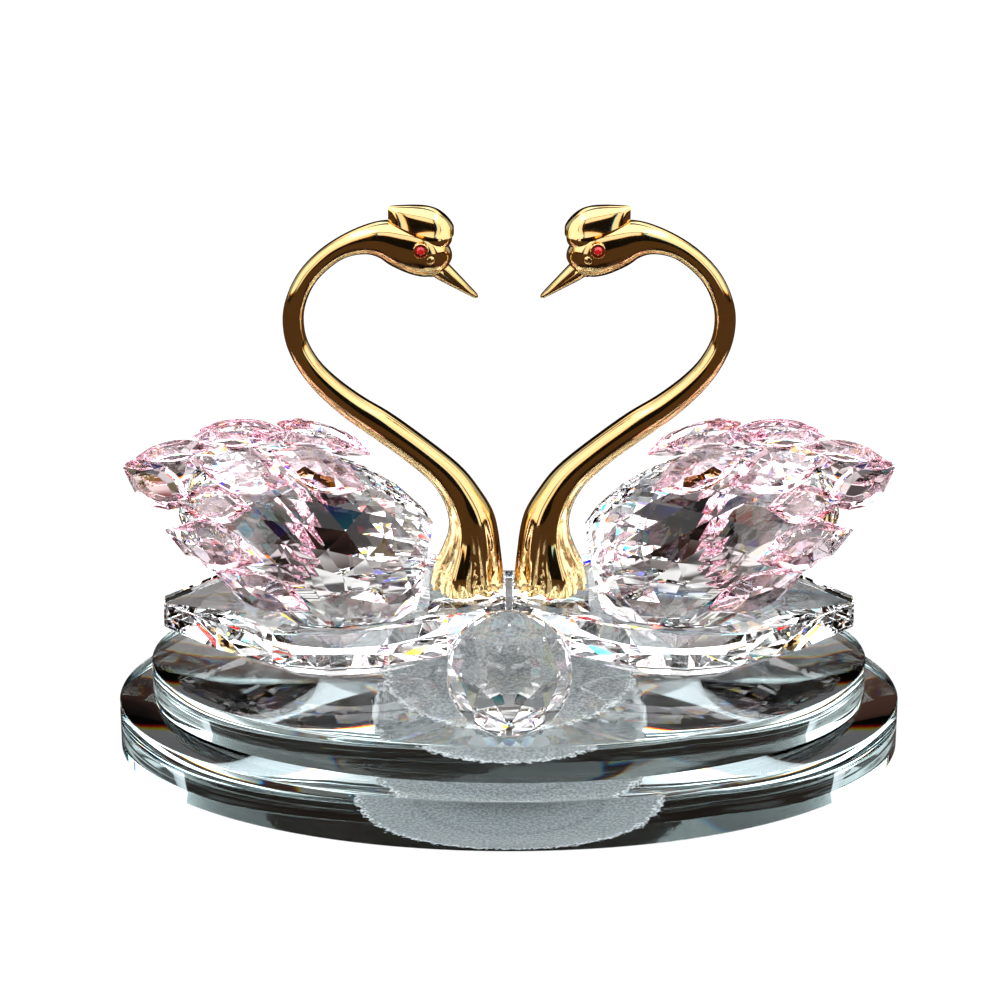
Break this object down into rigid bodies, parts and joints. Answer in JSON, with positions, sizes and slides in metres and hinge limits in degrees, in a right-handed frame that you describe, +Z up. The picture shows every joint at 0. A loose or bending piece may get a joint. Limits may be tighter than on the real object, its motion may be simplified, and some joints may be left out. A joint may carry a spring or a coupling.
{
  "type": "figurine",
  "caption": "crystal swan pair figurine: faceted clear bodies with pale pink wing stones, gold-plated curved necks facing each other, leaf dishes and a ball on stacked oval glass plates",
  "frame": {"origin": "middle of the lower plate's underside, on the surface the figurine stands on", "axes": "+X along the plates' length, -Y the front with the ball, +Z up"},
  "size_m": [0.19, 0.118, 0.1369],
  "materials": {
    "plate_glass": "polished, faint blue-green tint",
    "clear_crystal": "polished facets, colourless",
    "pink_crystal": "polished facets, pale pink",
    "red_crystal": "polished facets, foil-backed red",
    "gold_plate": "mirror-polished gold plating on a die casting"
  },
  "bodies": {
    "root": {"crystal_ball": "clear_crystal", "left_body": "clear_crystal", "left_eye_front": "red_crystal", "left_eye_rear": "red_crystal", "left_leaf_dish": "clear_crystal", "left_neck": "gold_plate", "left_stone_lower_front": "pink_crystal", "left_stone_lower_rear": "pink_crystal", "left_stone_middle_front": "pink_crystal", "left_stone_middle_rear": "pink_crystal", "left_stone_ridge_inner": "pink_crystal", "left_stone_ridge_middle": "pink_crystal", "left_stone_ridge_tail": "pink_crystal", "left_stone_tail_front": "pink_crystal", "left_stone_tail_rear": "pink_crystal", "left_stone_upper_inner_front": "pink_crystal", "left_stone_upper_inner_rear": "pink_crystal", "left_stone_upper_middle_front": "pink_crystal", "left_stone_upper_middle_rear": "pink_crystal", "left_stone_upper_tail_front": "pink_crystal", "left_stone_upper_tail_rear": "pink_crystal", "lower_plate": "plate_glass", "right_body": "clear_crystal", "right_eye_front": "red_crystal", "right_eye_rear": "red_crystal", "right_leaf_dish": "clear_crystal", "right_neck": "gold_plate", "right_stone_lower_front": "pink_crystal", "right_stone_lower_rear": "pink_crystal", "right_stone_middle_front": "pink_crystal", "right_stone_middle_rear": "pink_crystal", "right_stone_ridge_inner": "pink_crystal", "right_stone_ridge_middle": "pink_crystal", "right_stone_ridge_tail": "pink_crystal", "right_stone_tail_front": "pink_crystal", "right_stone_tail_rear": "pink_crystal", "right_stone_upper_inner_front": "pink_crystal", "right_stone_upper_inner_rear": "pink_crystal", "right_stone_upper_middle_front": "pink_crystal", "right_stone_upper_middle_rear": "pink_crystal", "right_stone_upper_tail_front": "pink_crystal", "right_stone_upper_tail_rear": "pink_crystal", "upper_plate": "plate_glass"}
  },
  "joints": []
}
